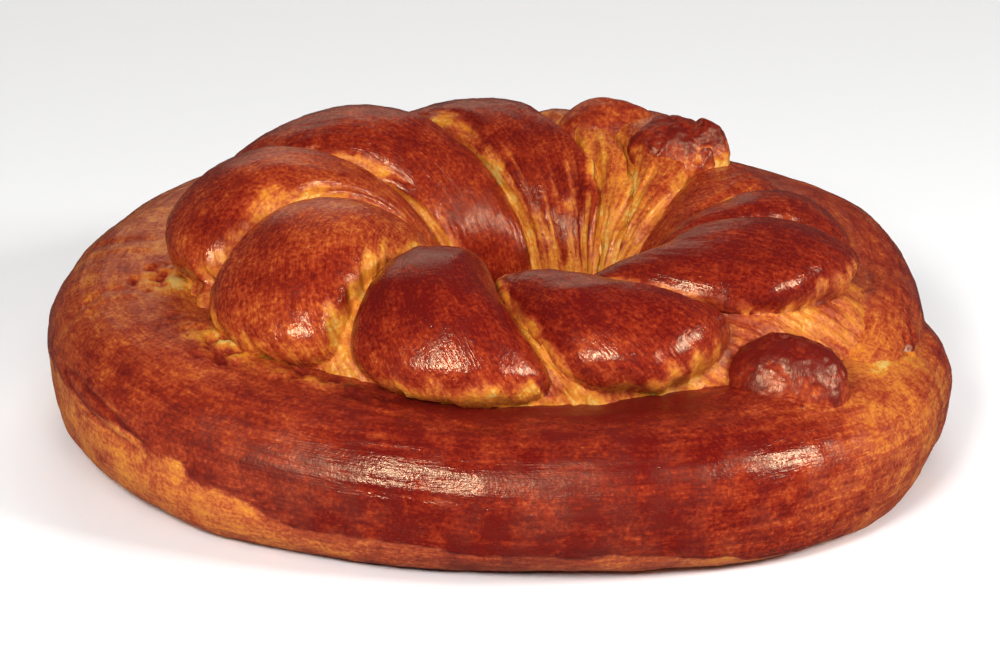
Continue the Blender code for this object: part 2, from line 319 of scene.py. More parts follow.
@dataclass(frozen=True)
class Crust:
    """A baked crust: colour by how far it has baked, with streaks, specks and gloss."""

    name: str
    streaks: float = 0.46               # how much the streaks change the bake
    mottling: float = 0.72              # how much the blotches change it
    graininess: float = 0.86            # how much the finest specks change it
    streak_width: float = 0.16          # cm across the grain
    streak_length: float = 0.8          # cm down the grain
    blotch_size: float = 0.008          # m
    grain_size: float = 0.0013          # m
    roughness: float = 0.18             # of the smoothest glaze
    unevenness: float = 0.5             # how much rougher it gets
    gloss: float = 0.62                 # specular level
    sheen: tuple = (1.0, 0.74, 0.46, 1.0)               # tint of the glaze's highlights
    bump_depth: float = 0.00025         # m

    def material(self) -> bpy.types.Material:
        """Build the material.

        Returns:
            A material whose base colour is the bake ramp read at the bake
            attribute plus streaks and blotches, with dark pores over it.
        """
        crust = bpy.data.materials.new(self.name)
        crust.use_nodes = True
        nodes = NodeKit(crust.node_tree)
        shader = nodes.shader()
        bake = nodes.attribute("bake")
        glaze = nodes.attribute("glaze")
        streak = nodes.streaks(self.streak_width, self.streak_length, detail=4.0)
        fine_streak = nodes.streaks(0.4 * self.streak_width, 0.5 * self.streak_length, detail=2.0)
        blotch = nodes.noise(self.blotch_size, detail=5.0, roughness=0.62)
        grain = nodes.noise(self.grain_size, detail=3.0, roughness=0.6)
        level = nodes.add_scaled(bake, streak, self.streaks)
        level = nodes.add_scaled(level, fine_streak, 0.8 * self.streaks)
        level = nodes.add_scaled(level, blotch, self.mottling)
        level = nodes.add_scaled(level, grain, self.graininess)
        colour = nodes.ramp(level, [(stage.level, stage.colour) for stage in Bake])
        pores = nodes.pores(0.0042, 0.055)
        colour = nodes.mix(nodes.math("MULTIPLY", pores, 0.7), colour, (0.08, 0.008, 0.006, 1.0))
        nodes.tree.links.new(colour, shader.inputs["Base Color"])
        matt = nodes.math("MULTIPLY", nodes.math("SUBTRACT", 1.0, glaze), 0.42)
        rough = nodes.add_scaled(matt, blotch, self.unevenness)
        rough = nodes.add_scaled(rough, grain, 0.5 * self.unevenness)
        rough = nodes.math("ADD", rough, self.roughness)
        nodes.tree.links.new(nodes.clamp(rough, 0.14, 0.95), shader.inputs["Roughness"])
        shader.inputs["Specular IOR Level"].default_value = self.gloss
        shader.inputs["Specular Tint"].default_value = self.sheen
        height = nodes.add_scaled(nodes.math("MULTIPLY", fine_streak, 0.6), grain, 0.7)
        height = nodes.add_scaled(height, pores, -0.4)
        nodes.bump(height, self.bump_depth, shader)
        return crust


class NodeKit:
    """Short ways to add the shader nodes that the finishes share."""

    def __init__(self, tree: bpy.types.NodeTree) -> None:
        """Keep the tree that the nodes go into."""
        self.tree = tree

    def shader(self) -> bpy.types.Node:
        """The Principled shader that a new material starts with."""
        return self.tree.nodes["Principled BSDF"]

    def new(self, kind: str) -> bpy.types.Node:
        """Add a node of a kind."""
        return self.tree.nodes.new(kind)

    def attribute(self, name: str) -> bpy.types.NodeSocket:
        """Read a value kept on the mesh."""
        node = self.new("ShaderNodeAttribute")
        node.attribute_name = name
        return node.outputs["Fac"]

    def math(self, operation: str, first: object, second: object) -> bpy.types.NodeSocket:
        """Join two numbers or sockets with a math operation.

        Args:
            operation: name of the operation.
            first: a number or an output socket.
            second: a number or an output socket.

        Returns:
            The output socket.
        """
        node = self.new("ShaderNodeMath")
        node.operation = operation
        for socket, value in zip(node.inputs, (first, second)):
            if isinstance(value, bpy.types.NodeSocket):
                self.tree.links.new(value, socket)
            else:
                socket.default_value = value
        return node.outputs[0]

    def add_scaled(self, base: object, extra: object, scale: float) -> bpy.types.NodeSocket:
        """base + extra * scale."""
        return self.math("ADD", base, self.math("MULTIPLY", extra, scale))

    def clamp(self, value: bpy.types.NodeSocket, low: float, high: float) -> bpy.types.NodeSocket:
        """Hold a value between low and high."""
        return self.math("MINIMUM", self.math("MAXIMUM", value, low), high)

    def noise(self, size: float, detail: float, roughness: float) -> bpy.types.NodeSocket:
        """Noise in object coordinates, from about -0.5 to 0.5.

        Args:
            size: size of the coarsest blotches, metres.
            detail: layers of finer noise.
            roughness: strength of the finer layers.

        Returns:
            The output socket.
        """
        place = self.new("ShaderNodeTexCoord")
        node = self.new("ShaderNodeTexNoise")
        node.inputs["Scale"].default_value = 1.0 / size
        node.inputs["Detail"].default_value = detail
        node.inputs["Roughness"].default_value = roughness
        self.tree.links.new(place.outputs["Object"], node.inputs["Vector"])
        return self.math("SUBTRACT", node.outputs["Fac"], 0.5)

    def streaks(self, width: float, length: float, detail: float) -> bpy.types.NodeSocket:
        """Noise drawn out down the grain, from about -0.5 to 0.5.

        Args:
            width: size across the grain, centimetres.
            length: size down the grain, centimetres.
            detail: layers of finer noise.

        Returns:
            The output socket.
        """
        grain = self.new("ShaderNodeUVMap")
        grain.uv_map = "grain"
        mapping = self.new("ShaderNodeMapping")
        mapping.inputs["Scale"].default_value = (1.0 / width, 1.0 / length, 1.0)
        node = self.new("ShaderNodeTexNoise")
        node.inputs["Scale"].default_value = 1.0
        node.inputs["Detail"].default_value = detail
        node.inputs["Roughness"].default_value = 0.6
        node.inputs["Distortion"].default_value = 0.3
        self.tree.links.new(grain.outputs["UV"], mapping.inputs["Vector"])
        self.tree.links.new(mapping.outputs["Vector"], node.inputs["Vector"])
        return self.math("SUBTRACT", node.outputs["Fac"], 0.5)

    def pores(self, spacing: float, size: float) -> bpy.types.NodeSocket:
        """Small pores scattered over the crust.

        Args:
            spacing: about how far apart they are, metres.
            size: radius as a share of the spacing.

        Returns:
            1 in a pore, 0 elsewhere.
        """
        place = self.new("ShaderNodeTexCoord")
        node = self.new("ShaderNodeTexVoronoi")
        node.inputs["Scale"].default_value = 1.0 / spacing
        node.inputs["Randomness"].default_value = 1.0
        self.tree.links.new(place.outputs["Object"], node.inputs["Vector"])
        reach = self.new("ShaderNodeMapRange")
        reach.inputs["From Min"].default_value = size
        reach.inputs["From Max"].default_value = 2.2 * size
        reach.inputs["To Min"].default_value = 1.0
        reach.inputs["To Max"].default_value = 0.0
        self.tree.links.new(node.outputs["Distance"], reach.inputs["Value"])
        spread = self.noise(0.02, 2.0, 0.5)
        here = self.math("GREATER_THAN", spread, 0.02)
        return self.math("MULTIPLY", reach.outputs["Result"], here)

    def ramp(self, level: bpy.types.NodeSocket, stops: list) -> bpy.types.NodeSocket:
        """Colour ramp read at a level.

        Args:
            level: output socket from 0 to 1.
            stops: (place, colour) pairs in rising order.

        Returns:
            The colour socket.
        """
        node = self.new("ShaderNodeValToRGB")
        elements = node.color_ramp.elements
        while len(elements) < len(stops):
            elements.new(0.5)
        for element, (place, colour) in zip(elements, stops):
            element.position = place
            element.color = colour
        self.tree.links.new(level, node.inputs["Fac"])
        return node.outputs["Color"]

    def mix(self, share: object, first: bpy.types.NodeSocket, second: tuple) -> bpy.types.NodeSocket:
        """Mix a colour socket toward a plain colour.

        Args:
            share: how much of the second colour.
            first: colour socket.
            second: plain colour.

        Returns:
            The mixed colour socket.
        """
        node = self.new("ShaderNodeMix")
        node.data_type = "RGBA"
        self.tree.links.new(share, node.inputs["Factor"])
        self.tree.links.new(first, node.inputs["A"])
        node.inputs["B"].default_value = second
        return node.outputs["Result"]

    def bump(self, height: bpy.types.NodeSocket, depth: float, shader: bpy.types.Node) -> None:
        """Tilt the shader's normal by a height.

        Args:
            height: output socket.
            depth: metres for a height of 1.
            shader: the Principled shader.
        """
        node = self.new("ShaderNodeBump")
        node.inputs["Distance"].default_value = depth
        node.inputs["Strength"].default_value = 1.0
        self.tree.links.new(height, node.inputs["Height"])
        self.tree.links.new(node.outputs["Normal"], shader.inputs["Normal"])


# ---- the loaf ---------------------------------------------------------------
@dataclass(frozen=True)
class TornPatch:
    """A place where the rope's skin has torn and pale dough shows."""

    azimuth: float                      # degrees from the rope's start, as it counts them
    section: float                      # degrees round its section
    reach_along: float                  # mm
    reach_across: float                 # mm
    paleness: float                     # 1 takes the bake down to raw dough
    roughness: float                    # mm of jagged relief


@dataclass(frozen=True)
class CrustLine:
    """A narrow fold or ridge drawn on the rope's crust."""

    path: tuple                         # azimuth, as the rope counts it, and section angle, degrees
    width: float                        # mm
    height: float                       # mm, less than nothing for a groove
    bake: float                         # change in the bake


@dataclass
class OuterRope:
    """The thick glazed rope round the outside, its ends crossing at the right."""

    centre: tuple = (1.7, 13.0)
    outer_radius: float = 152.4
    half_width: float = 35.0
    half_height: float = 28.5
    tray_flat: float = 3.0
    fullness: float = 2.45
    start: float = 30.0
    finish: float = -396.0
    start_taper: float = 36.0
    finish_taper: float = 38.0
    start_reach: float = 84.0           # degrees over which the tucked end drops
    finish_reach: float = 80.0          # degrees over which the top end narrows
    start_outward: float = 3.5
    start_drop: float = 17.0
    start_narrow: float = 0.25          # share of its width that the tucked end loses
    finish_inward: float = 10.5
    finish_lift: float = 4.0
    finish_narrow: float = 0.45         # share of its width that the top end loses
    # places where the rope is lower or higher: azimuth, reach (degrees), mm
    presses: tuple = ((272.0, 40.0, -3.0), (30.0, 20.0, 5.5))
    plan_waves: tuple = ((2, -0.7, 3.0), (3, -2.2, -2.5), (4, -2.6, 0.0))
    height_waves: tuple = ((1, -0.6, 0.6), (2, 0.4, -0.5), (5, 0.4, 0.3))
    thickness_waves: tuple = ((1, -0.4, 2.6), (2, -0.5, 0.4))
    rings: int = 672
    # section angles and the number of rows up to the next one
    row_bands: tuple = ((-70.0, 118, 130.0), (130.0, 28, 290.0))
    # edge of the glaze: rope azimuth, section angle
    glaze_azimuths: tuple = (0.0, 60.0, 120.0, 165.0, 202.0, 214.0, 222.0, 226.0, 231.0, 239.0, 247.0,
                             258.0, 268.0, 278.0, 290.0, 304.0, 330.0, 360.0)
    glaze_sections: tuple = (-38.0, -30.0, -20.0, -8.0, 5.0, 7.0, 9.0, 3.0, 1.0, -6.0, -10.0,
                             -14.0, -21.0, -22.0, -27.0, -46.0, -50.0, -38.0)
    # how far the glazed crust has baked, from 0 to 1, round the rope
    tone_azimuths: tuple = (0.0, 60.0, 120.0, 170.0, 205.0, 235.0, 262.0, 290.0, 305.0, 325.0, 345.0, 360.0)
    tones: tuple = (0.78, 0.78, 0.74, 0.55, 0.64, 0.82, 0.97, 0.96, 0.80, 0.52, 0.56, 0.78)
    # fuller places: azimuth, section angle, reach (degrees), mm
    bulges: tuple = ((226.0, -38.0, 26.0, 1.2), (334.0, -14.0, 24.0, -2.0), (312.0, -50.0, 22.0, 1.8),
                     (162.0, 20.0, 24.0, 1.8))
    torn_patches: tuple = (
        TornPatch(-137.0, 90.0, 21.0, 6.0, 1.0, 3.0),
        TornPatch(-164.0, 94.0, 12.0, 8.0, 0.8, 2.0),
        TornPatch(-120.0, 86.0, 20.0, 4.0, 0.6, 2.4),
        TornPatch(-25.0, 72.0, 12.0, 3.6, 0.65, 1.4),
        TornPatch(-14.0, 62.0, 12.0, 3.2, 0.5, 1.6),
        TornPatch(-5.0, 48.0, 9.0, 3.0, 0.35, 1.4),
        TornPatch(-374.0, 32.0, 10.0, 5.0, -0.30, 1.8),
        TornPatch(-364.5, 84.0, 7.0, 1.6, 0.5, 0.4),
    )

    # the folded seam and two folds at the left, and wrinkles where the ends cross
    lines: tuple = (
        CrustLine(((-135.5, 4.0), (-137.5, 8.0), (-141.0, 13.0), (-145.0, 16.5), (-151.0, 18.0), (-154.5, 15.0),
                   (-155.0, 11.0), (-152.0, 9.0), (-148.0, 6.5), (-144.0, 4.0), (-139.5, 1.0), (-136.5, 0.5)),
                  0.9, -1.0, 0.24),
        CrustLine(((-160.0, 48.0), (-161.5, 64.0), (-159.5, 80.0)), 1.5, 0.6, -0.10),
        CrustLine(((-163.0, 50.0), (-164.5, 66.0), (-162.0, 82.0)), 1.5, -0.8, 0.12),
        CrustLine(((-181.0, 46.0), (-179.0, 60.0), (-177.0, 84.0)), 1.6, 0.6, -0.12),
        CrustLine(((-184.0, 48.0), (-182.5, 62.0), (-181.0, 84.0)), 1.8, -0.7, 0.10),
        CrustLine(((-377.0, 20.0), (-374.0, 44.0)), 1.6, -1.4, 0.22),
        CrustLine(((-372.5, 24.0), (-370.0, 44.0)), 1.4, -1.0, 0.18),
    )

    def line_distance(self, line: CrustLine, azimuth_deg: Array, section_deg: Array) -> Array:
        """Distance over the crust from a line, mm.

        Args:
            line: the line.
            azimuth_deg: azimuth of every point.
            section_deg: angle round the section of every point.

        Returns:
            Shortest distance to any of the line's straight lengths.
        """
        to_mm = np.array([math.radians(1.0) * self.outer_radius, 0.56])
        spots = np.stack([azimuth_deg, section_deg], axis=-1) * to_mm
        nearest = np.full(azimuth_deg.shape, 1e3)
        corners = np.array(line.path) * to_mm
        for begin, end in zip(corners[:-1], corners[1:]):
            way = end - begin
            share = np.clip(((spots - begin) @ way) / (way @ way), 0.0, 1.0)
            nearest = np.minimum(nearest, np.linalg.norm(spots - begin - share[..., None] * way, axis=-1))
        return nearest

    def sections(self) -> Array:
        """Angles round the section, closest together where the rope shows."""
        parts = [np.linspace(low, high, count, endpoint=False) for low, count, high in self.row_bands]
        return np.concatenate(parts)

    def ring_azimuths(self) -> Array:
        """Azimuth of every ring in degrees, crowding together at the two ends."""
        end_share = self.start_taper / (self.start - self.finish)
        along = np.linspace(0.0, 1.0, self.rings + 2)
        along = along - end_share * np.sin(TURN * along) / TURN * 1.6
        return (self.start + (self.finish - self.start) * along)[1:-1]

    def surface(self, azimuth_deg: Array, section_deg: Array) -> Array:
        """Rope surface: a superellipse carried round a nearly closed ring.

        Its size closes to nothing at the two ends as the square root of
        1 - (share of the taper left)^power; waves round the ring move the line it
        follows, its height and its thickness.

        Args:
            azimuth_deg: azimuth of each ring.
            section_deg: angle round the section of each row.

        Returns:
            (rings, rows, 3) points in millimetres.
        """
        from_start = np.clip((self.start - azimuth_deg) / self.start_taper, 0.0, 1.0)
        from_finish = np.clip((azimuth_deg - self.finish) / self.finish_taper, 0.0, 1.0)
        size = np.sqrt(1.0 - (1.0 - from_start) ** 2.0) * np.sqrt(1.0 - (1.0 - from_finish) ** 2.4)
        near_start = 1.0 - smooth(0.0, self.start_reach, self.start - azimuth_deg)
        near_finish = 1.0 - smooth(0.0, self.finish_reach, azimuth_deg - self.finish)
        turned_in = self.finish_inward * near_finish - self.start_outward * near_start
        lifted = self.finish_lift * near_finish - self.start_drop * near_start
        for place, reach, change in self.presses:
            lifted = lifted + change * np.exp(-(close_to(azimuth_deg, place) / reach) ** 2)
        half_width = self.half_width * (1.0 - self.finish_narrow * near_finish - self.start_narrow * near_start)
        azimuth = np.radians(azimuth_deg)
        section = np.radians(section_deg)
        power = 2.0 / self.fullness
        sideways = np.sign(np.cos(section)) * np.abs(np.cos(section)) ** power
        upright = np.sign(np.sin(section)) * np.abs(np.sin(section)) ** power
        line = self.outer_radius - half_width + waves(self.plan_waves, azimuth) - turned_in
        middle = self.half_height + 0.5 * lifted + waves(self.height_waves, azimuth)
        half_height = (self.half_height + 0.5 * lifted + waves(self.thickness_waves, azimuth)) * size
        radius = line[:, None] + (half_width * size)[:, None] * sideways[None, :]
        height = middle[:, None] + half_height[:, None] * upright[None, :]
        for place, level, reach, change in self.bulges:
            far = np.hypot(close_to(azimuth_deg, place)[:, None], close_to(section_deg, level)[None, :]) / reach
            push = change * np.exp(-far ** 2)
            radius = radius + push * np.cos(section)
            height = height + push * np.sin(section)
        x = self.centre[0] + radius * np.cos(azimuth)[:, None]
        y = self.centre[1] + radius * np.sin(azimuth)[:, None]
        return np.stack([x, y, height], axis=-1)

    def box_centre(self) -> Array:
        """Middle of the rope's box in plan, millimetres."""
        dense = self.surface(np.linspace(self.start, self.finish, 402)[1:-1], np.arange(0.0, 360.0, 6.0))
        flat = dense.reshape(-1, 3)[:, :2]
        return 0.5 * (flat.min(axis=0) + flat.max(axis=0))

    def skin(self) -> Skin:
        """The rope's grid with its relief, bake and glaze.

        Returns:
            The skin: the plain surface plus swellings, streaks down the rope,
            pits, torn patches and the fold at the left.
        """
        azimuth = self.ring_azimuths()
        section = self.sections()
        points = self.surface(azimuth, section)
        across = np.broadcast_to(section[None, :] * 0.56, points.shape[:2]).copy()
        along = np.broadcast_to(-np.radians(azimuth)[:, None] * 128.0, points.shape[:2]).copy()
        skin = Skin(points, across, along, rows_close=False, columns_close=True)
        azimuth_all, section_all = np.broadcast_arrays(azimuth[:, None] % 360.0, section[None, :])
        paper = flat_points(across, along)
        swell = DoughNoise(11).layered(points, (30.0, 30.0, 22.0), 2)
        streak = DoughNoise(12).layered(paper, (2.4, 26.0, 1.0), 2)
        blotch = DoughNoise(13).layered(points, (9.0, 9.0, 9.0), 3)
        jag = DoughNoise(14).layered(points, (4.2, 4.2, 4.2), 3)
        edge = np.interp(azimuth_all[:, 0], self.glaze_azimuths, self.glaze_sections)[:, None]
        glaze = smooth(-1.6, 1.6, section_all - edge + 5.0 * blotch + 1.5 * streak)
        glaze = np.where(section_all > 180.0, 0.0, glaze)
        tone = np.interp(azimuth_all, self.tone_azimuths, self.tones)
        bake = tone + 0.13 * blotch + 0.09 * streak + 0.05 * swell - 0.05 * smooth(10.0, 70.0, section_all)
        bake = bake + 0.22 * smooth(70.0, 88.0, section_all) * np.exp(-(close_to(azimuth_all, 282.0) / 28.0) ** 2)
        height = 0.9 * swell + 0.20 * streak + 0.16 * jag
        unglazed = 0.42 + 0.32 * np.exp(-(close_to(azimuth_all, 268.0) / 22.0) ** 2)
        for patch in self.torn_patches:
            far_along = (azimuth[:, None] - patch.azimuth) * math.radians(1.0) * 110.0 / patch.reach_along
            far_across = (section_all - patch.section) * 0.56 / patch.reach_across
            nearness = 1.0 - smooth(0.3, 1.2, np.hypot(far_along, far_across) + 0.7 * jag)
            bake = bake - patch.paleness * nearness * (0.45 + 1.1 * jag)
            height = height + patch.roughness * nearness * jag
        bake = np.where(glaze < 1.0, bake * glaze + (1.0 - glaze) * (unglazed + 0.16 * blotch), bake)
        height = height + 0.35 * glaze
        counted, level = np.broadcast_arrays(azimuth[:, None], section[None, :])
        for line in self.lines:
            trace = np.exp(-(self.line_distance(line, counted, level) / line.width) ** 2)
            bake = bake + line.bake * trace
            height = height + line.height * trace
        skin.raise_by(height)
        skin.points[..., 2] = np.maximum(skin.points[..., 2], self.tray_flat)
        satin = 1.0 - 0.45 * smooth(50.0, 75.0, section_all)
        thick_wash = np.exp(-(close_to(azimuth_all, 262.0) / 16.0) ** 2) + np.exp(
            -(close_to(azimuth_all, 303.0) / 20.0) ** 2)
        side = smooth(190.0, 215.0, azimuth_all % 360.0) * (1.0 - smooth(330.0, 350.0, azimuth_all % 360.0))
        wash = 1.0 - side * (1.0 - np.clip(thick_wash + 0.35 * blotch, 0.45, 1.0))
        skin.values = {"bake": bake, "glaze": glaze * satin * wash}
        return skin


@dataclass(frozen=True)
class Lobe:
    """One rolled lobe of the wreath, from its crease to the next lobe's."""

    crease: float                       # azimuth of its first crease on the crest, degrees
    lean_out: float                     # how far the crease leans outward, degrees
    lean_in: float                      # and inward
    crest: float                        # mm from the strand's line to its crest
    relief: float                       # mm it stands over the creases
    tip: float                          # degrees round the strand where it ends
    slant: float                        # degrees its end rises toward its last crease
    web: float                          # share of the foot taken by the web
    pale_first: float                   # mm of pale flank at its first crease
    pale_last: float                    # and at its last
    pale_hollow: float                  # degrees of pale dough up from the hollow
    pale_tip: float                     # mm of pale dough above its end
    steepness: float                    # 0.5 is a round last side, more is a sloping one
    tone: float                         # bake of its crest


@dataclass
class TwistedWreath:
    """The twisted wreath: rolled lobes over a strand closed round a ring."""

    centre: tuple = (0.0, 3.0)
    radius: float = 68.0
    height: float = 41.0
    crease_width: float = 0.05
    lobe_round: float = 2.3
    neck_at: float = 180.0
    tip_round: float = 18.0
    slant_from: float = -0.4            # place across a lobe where its end starts to slant
    blend: float = 14.0                 # degrees over which one core passes to the next
    full_arc: float = 42.0              # mm of arc that gives a lobe its full relief
    hollow_drift: float = 13.0          # mm the hollow's right side lies further right
    drift_toward: float = 20.0          # azimuth where that is most, degrees
    right_drift: float = 10.0           # mm the right side stands out
    sag_azimuths: tuple = (258.0, 272.0, 285.0, 302.0, 322.0, 340.0, 352.0)
    sags: tuple = (0.0, 6.0, 7.5, 7.5, 6.5, 1.5, 0.0)  # mm the crest is lower there
    # where webs are paler or browner: azimuth, reach (degrees), change
    web_tones: tuple = ((300.0, 6.0, -0.12), (312.0, 7.0, 0.22), (345.0, 24.0, 0.16),
                        (170.0, 40.0, 0.10), (244.0, 8.0, -0.04))
    outer_tone: float = 0.80            # least bake of a lobe's outer side
    skirt: float = 10.0                 # mm of web spread over the rope at the right
    skirt_at: tuple = (-10.0, 24.0, 8.0, 24.0)          # azimuth, reach, strand angle, reach
    lowest: float = 4.0                 # mm, its hidden underside stays above this
    total_columns: int = 560
    web_columns: int = 8
    row_bands: tuple = ((0.0, 52, 66.0), (66.0, 49, 150.0), (150.0, 18, 225.0), (225.0, 5, 340.0),
                        (340.0, 8, 360.0))
    lobes: tuple = (
        Lobe(268.5, 17.0, 15.0, 49.5, 13.0, 18.0, 20.0, 0.04, 6.0, 4.0, 20.0, 6.0, 0.80, 0.93),
        Lobe(301.0, 36.0, 30.0, 48.5, 11.0, 40.0, -12.0, 0.10, 6.0, 4.0, 20.0, 6.0, 0.85, 0.92),
        Lobe(354.0, 24.0, 38.0, 48.5, 9.0, 15.0, 0.0, 0.08, 2.5, 1.5, 20.0, 4.0, 0.60, 0.86),
        Lobe(376.0, 26.0, 38.0, 46.0, 9.0, 16.0, 0.0, 0.10, 1.5, 2.0, 30.0, 4.0, 0.60, 0.70),
        Lobe(398.0, 26.0, 38.0, 54.0, 10.0, 8.0, 0.0, 0.10, 6.0, 4.0, 84.0, 4.0, 0.70, 0.50),
        Lobe(425.0, 30.0, 58.0, 56.5, 9.0, 6.0, 0.0, 0.08, 3.0, 4.0, 80.0, 4.0, 0.60, 0.44),
        Lobe(439.0, 25.0, 52.0, 51.0, 10.0, 6.0, 0.0, 0.10, 3.0, 9.0, 60.0, 5.0, 0.55, 0.84),
        Lobe(473.0, 16.0, 28.0, 51.5, 12.0, 6.0, 0.0, 0.10, 2.0, 7.0, 10.0, 4.0, 0.55, 0.80),
        Lobe(520.0, 5.0, 16.0, 52.5, 12.0, 24.0, 0.0, 0.16, 2.0, 8.0, 10.0, 4.0, 0.55, 0.66),
        Lobe(557.0, 14.0, 15.0, 50.5, 12.0, 16.0, 0.0, 0.08, 2.0, 7.0, 10.0, 7.0, 0.60, 0.58),
        Lobe(597.5, 5.0, 10.0, 48.5, 13.0, 14.5, 0.0, 0.05, 4.0, 2.5, 20.0, 7.0, 0.58, 0.98),
    )

    def strand_angles(self) -> Array:
        """Angles round the strand: 0 outward, 90 up, 180 inward, 270 underneath."""
        parts = [np.linspace(low, high, count, endpoint=False) for low, count, high in self.row_bands]
        return np.concatenate(parts)

    def crease_lines(self, strand: Array) -> Array:
        """Azimuth of every crease at each angle round the strand, degrees."""
        lean = np.where(strand <= 180.0, (90.0 - strand) / 90.0, (strand - 270.0) / 90.0)
        lines = [lobe.crease + np.where(lean > 0.0, lobe.lean_out, lobe.lean_in) * lean for lobe in self.lobes]
        lines.append(lines[0] + 360.0)
        return np.array(lines)

    def lobe_columns(self) -> list:
        """Columns of points given to each lobe, in step with its width."""
        lines = self.crease_lines(np.array([20.0, 90.0]))
        widths = np.diff(lines, axis=0).mean(axis=1)
        return [max(24, int(round(self.total_columns * width / widths.sum()))) for width in widths]

    def lobe_places(self, half_width: Array, columns: int) -> Array:
        """Places across a lobe from -1 to 1 for each row.

        Args:
            half_width: share of the half lobe that its tongue takes, per row.
            columns: points across the tongue.

        Returns:
            (rows, columns + 2 * web columns) places: the tongue's spread as a
            sine so they crowd at its edges, then even steps over the web.
        """
        inner = half_width[:, None] * np.sin(0.47 * np.pi * np.linspace(-1.0, 1.0, columns))[None, :]
        inner = inner / math.sin(0.47 * math.pi)
        web = np.linspace(0.0, 1.0, self.web_columns + 1)[None, 1:]
        after = half_width[:, None] + (1.0 - half_width[:, None]) * web
        before = -after[:, ::-1]
        return np.concatenate([before[:, 1:], inner, after], axis=1)

    def lobe_sheet(self, index: int, columns: int, strand: Array) -> tuple:
        """Grid over one lobe.

        Distance from the strand's line is a core, blended from the lobes round
        about, plus the lobe's tongue: relief times 1 - (place across)^round -
        (share past the tip)^2.5 to a power from 0.5 at its first side to its
        steepness at its last.

        Args:
            index: which lobe.
            columns: points across its tongue.
            strand: angles round the strand, degrees.

        Returns:
            Points, ripeness (0 at the edge of the tongue, rising inward), and the
            azimuth of every point in degrees.
        """
        lobe = self.lobes[index]
        signed = np.where(strand > 270.0, strand - 360.0, strand)
        lines = self.crease_lines(strand)
        foot = 1.0 - smooth(lobe.tip - 8.0, lobe.tip + 34.0, signed)
        half_width = 1.0 - self.crease_width - lobe.web * foot
        place = self.lobe_places(half_width, columns)
        share = 0.5 * (place + 1.0)
        first, last = lines[index], lines[index + 1]
        azimuth = first[:, None] + share * (last - first)[:, None]
        cores = np.array([each.crest - each.relief for each in self.lobes])
        middles = 0.5 * (lines[:-1] + lines[1:])
        gap = close_to(azimuth[:, :, None], middles.T[:, None, :])
        pull = np.exp(-(gap / self.blend) ** 2) + 1e-9
        core = (pull * cores).sum(axis=-1) / pull.sum(axis=-1)
        sag = np.interp(azimuth % 360.0, self.sag_azimuths, self.sags)
        core = core - sag * smooth(30.0, 80.0, strand)[:, None] * (1.0 - smooth(200.0, 260.0, strand))[:, None]
        inside = np.clip(np.abs(place) / half_width[:, None], 0.0, 1.0)
        tip = lobe.tip + lobe.slant * np.maximum(place - self.slant_from, 0.0)
        past_tip = np.clip((tip + self.tip_round - signed[:, None]) / self.tip_round, 0.0, 1.0)
        power = 0.5 + (lobe.steepness - 0.5) * smooth(-0.5, 0.5, place)
        dome = np.clip(1.0 - inside ** self.lobe_round - past_tip ** 2.5, 0.0, 1.0) ** power
        turn = np.radians(strand)
        arc = np.radians(last - first) * (self.radius + cores[index] * np.cos(turn))
        fullness = np.clip(arc / self.full_arc, 0.25, 1.25)[:, None]
        fade = (1.0 - smooth(self.neck_at - 40.0, self.neck_at + 30.0, strand))[:, None]
        skirt_azimuth, azimuth_reach, skirt_strand, strand_reach = self.skirt_at
        skirt = self.skirt * np.exp(-(close_to(azimuth, skirt_azimuth) / azimuth_reach) ** 2)
        skirt = skirt * np.exp(-((signed - skirt_strand) / strand_reach) ** 2)[:, None]
        distance = core + skirt + lobe.relief * dome * fullness * fade
        points = self.ring_points(azimuth, strand, distance)
        steps = np.linalg.norm(np.diff(points, axis=1), axis=-1)
        run = np.concatenate([np.zeros((len(strand), 1)), np.cumsum(steps, axis=1)], axis=1)
        first_edge = self.web_columns - 1
        last_edge = first_edge + columns - 1
        from_first = (run - run[:, first_edge:first_edge + 1]) / lobe.pale_first
        from_last = (run[:, last_edge:last_edge + 1] - run) / lobe.pale_last
        from_tip = np.radians(signed[:, None] - tip) * lobe.crest / lobe.pale_tip
        from_hollow = ((205.0 - strand) / lobe.pale_hollow)[:, None]
        ripe = np.minimum(np.minimum(from_first, from_last), np.minimum(from_tip, from_hollow))
        return points, ripe, azimuth

    def ring_points(self, azimuth: Array, strand: Array, distance: Array) -> Array:
        """Points a distance out from the strand's line.

        Args:
            azimuth: (rows, columns) round the wreath, degrees.
            strand: angle round the strand of each row, degrees.
            distance: (rows, columns) from the strand's line, mm.

        Returns:
            (rows, columns, 3) points in millimetres.
        """
        turn = np.radians(strand)[:, None]
        radius = self.radius + distance * np.cos(turn)
        inner = (smooth(80.0, 165.0, strand) * (1.0 - smooth(270.0, 350.0, strand)))[:, None]
        right = 1.0 - smooth(32.0, 82.0, np.abs(close_to(azimuth, 2.0)))
        toward = 0.5 + 0.5 * np.cos(np.radians(azimuth - self.drift_toward))
        drift = self.hollow_drift * toward * inner + self.right_drift * right * (1.0 - inner)
        x = self.centre[0] + drift + radius * np.cos(np.radians(azimuth))
        y = self.centre[1] + radius * np.sin(np.radians(azimuth))
        z = np.broadcast_to(self.height + distance * np.sin(turn), x.shape)
        return np.stack([x, y, z], axis=-1)

